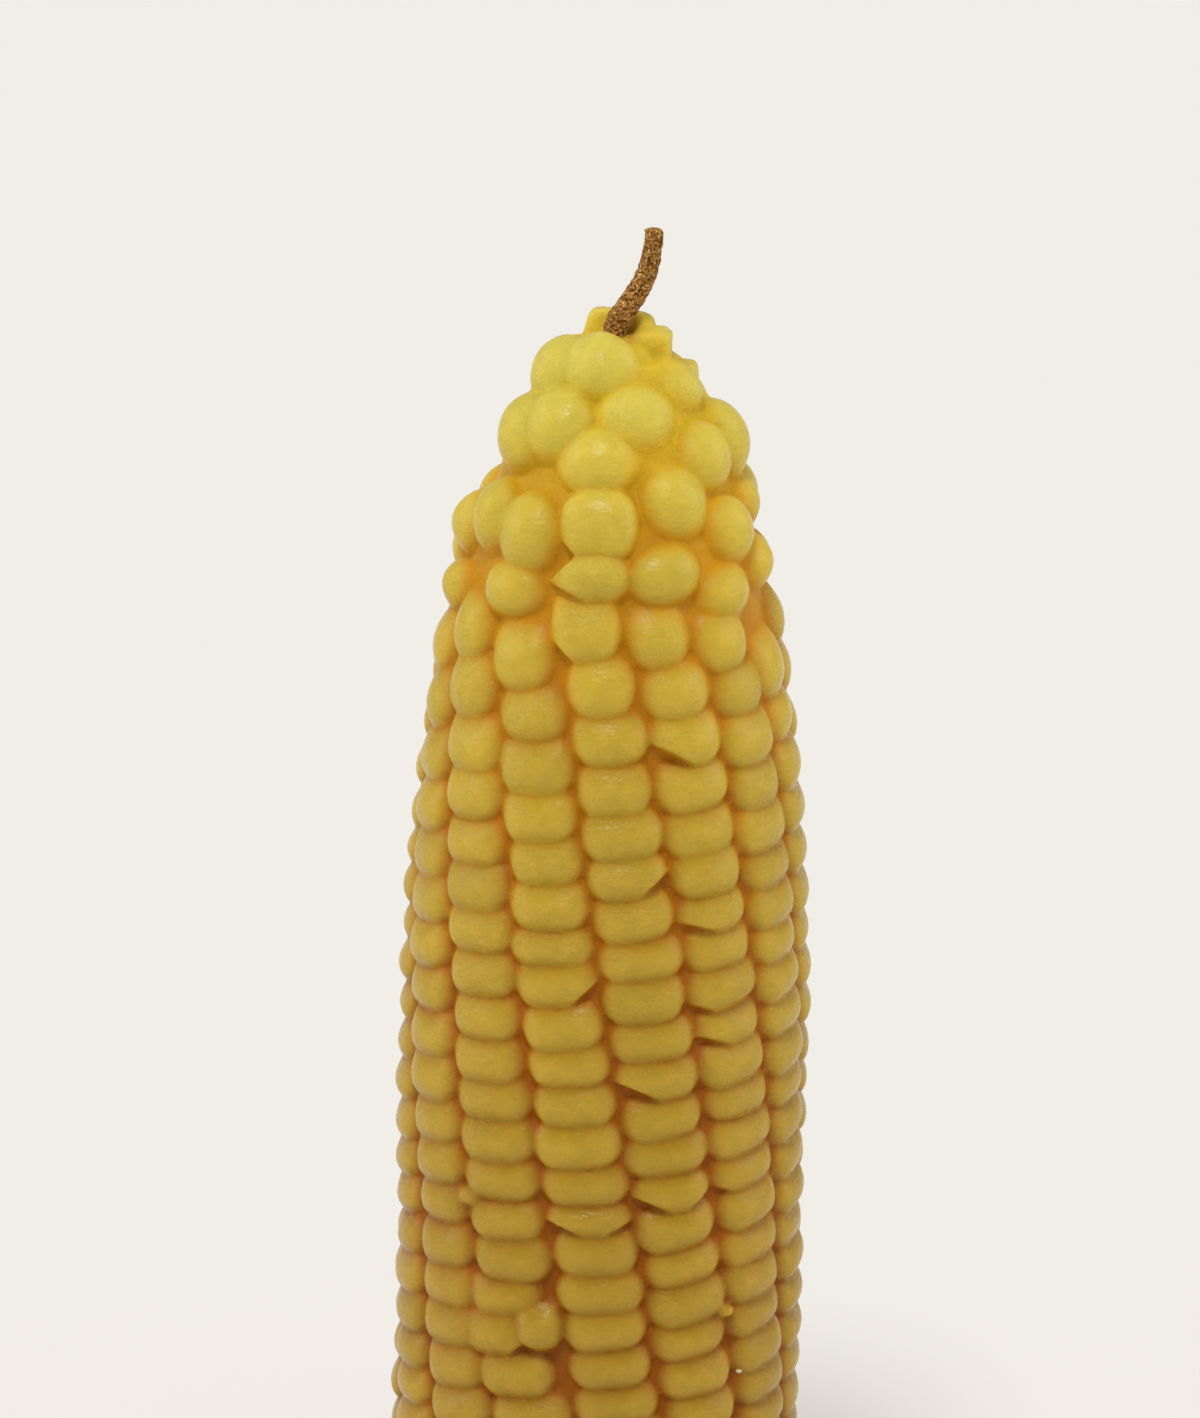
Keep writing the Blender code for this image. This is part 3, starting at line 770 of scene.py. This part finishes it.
both = add_node(tree, 'ShaderNodeMath', {0: thread_noise.outputs['Fac'], 1: flecks.outputs['Fac']},
                operation='ADD')
mean = add_node(tree, 'ShaderNodeMath', {0: both.outputs[0]}, {1: 0.5}, operation='MULTIPLY')
# Darker where the bump is lower: partly browned cotton, partly painted shade
cotton_colour_and_shade = add_node(tree, 'ShaderNodeValToRGB', {'Fac': mean.outputs[0]},
                         stops=((0.4, '#241404'), (0.46, '#704410'), (0.52, '#A8742E'), (0.6, '#E0BA7C')))
cotton_bump = add_node(tree, 'ShaderNodeBump', {'Height': mean.outputs[0]},
                       {'Distance': BRAID_DEPTH * MM, 'Strength': 0.8})
rough = add_node(tree, 'ShaderNodeMapRange', {'Value': flecks.outputs['Fac']},
                 {'From Min': 0.35, 'From Max': 0.65, 'To Min': 0.5, 'To Max': 0.85})
shader = add_node(tree, 'ShaderNodeBsdfPrincipled',
                  {'Base Color': cotton_colour_and_shade.outputs['Color'], 'Roughness': rough.outputs[0],
                   'Normal': cotton_bump.outputs[0]}, {'Specular IOR Level': 0.15})
add_node(tree, 'ShaderNodeOutputMaterial', {'Surface': shader.outputs['BSDF']})
wick_mesh.materials.append(cotton)
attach(wick, 'root')
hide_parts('wick')


# ---------------------------------------------------------------------------------------------------------
# The stage
# A plain pale floor, soft studio light from overhead, from both sides and from all round, and the camera,
# which looks down a little on the upper part of the candle.

FLOOR_WIDTH = 30
ROOM_LIGHT = 0.4

leave_edit_mode()
bpy.ops.mesh.primitive_plane_add(size=FLOOR_WIDTH)
floor = bpy.context.object
floor.name = 'floor'
# Matt background paper: pale, with soft shadows and no shine
paper, tree = new_material('pale_paper')
shader = add_node(tree, 'ShaderNodeBsdfPrincipled', None,
                  {'Base Color': linear('#EDEAE5'), 'Roughness': 0.9, 'Specular IOR Level': 0.1})
add_node(tree, 'ShaderNodeOutputMaterial', {'Surface': shader.outputs['BSDF']})
floor.data.materials.append(paper)

world = bpy.data.worlds.new('studio')
bpy.context.scene.world = world
world.use_nodes = True
world.node_tree.nodes['Background'].inputs['Color'].default_value = linear('#FFFEFB')
world.node_tree.nodes['Background'].inputs['Strength'].default_value = ROOM_LIGHT

# Softboxes overhead and at both sides, far enough off to light the whole floor evenly: the direction each
# shines from, as degrees round from the front and degrees up, its strength and its spread in degrees
SOFTBOXES = {'overhead_softbox': (-12, 58, 1.45, 16), 'left_softbox': (-88, 25, 0.95, 45),
             'right_softbox': (88, 25, 0.95, 45)}
for name, (around, above, strength, spread) in SOFTBOXES.items():
    lamp = bpy.data.lights.new(name, 'SUN')
    lamp.energy = strength
    lamp.angle = math.radians(spread)
    softbox = bpy.data.objects.new(name, lamp)
    bpy.context.scene.collection.objects.link(softbox)
    softbox.rotation_euler = (math.radians(90 - above), 0, math.radians(around))

CAMERA_DISTANCE = 0.8
CAMERA_DROP = 15.0
CAMERA_ROLL = 1.24
AIM_HEIGHT = 118.0
FRAME_HEIGHT_AT_AIM = 161.0
AXIS_RIGHT_OF_MIDDLE = 1.19
SENSOR = 36

camera_data = bpy.data.cameras.new('camera')
camera = bpy.data.objects.new('camera', camera_data)
bpy.context.scene.collection.objects.link(camera)
camera_data.sensor_fit = 'VERTICAL'
camera_data.sensor_height = SENSOR
camera_data.lens = SENSOR * CAMERA_DISTANCE / (FRAME_HEIGHT_AT_AIM * MM)
camera_data.clip_end = 40
drop = math.radians(CAMERA_DROP)
view = Vector((0, math.cos(drop), -math.sin(drop)))
aim = Vector((-AXIS_RIGHT_OF_MIDDLE, 0, AIM_HEIGHT)) * MM
turned = Matrix.Rotation(math.radians(90 - CAMERA_DROP), 4, 'X')
rolled = Matrix.Rotation(math.radians(CAMERA_ROLL), 4, 'Z')
camera.matrix_world = Matrix.Translation(aim - view * CAMERA_DISTANCE) @ (turned @ rolled)
bpy.context.scene.camera = camera
bpy.context.scene.view_settings.view_transform = 'Standard'
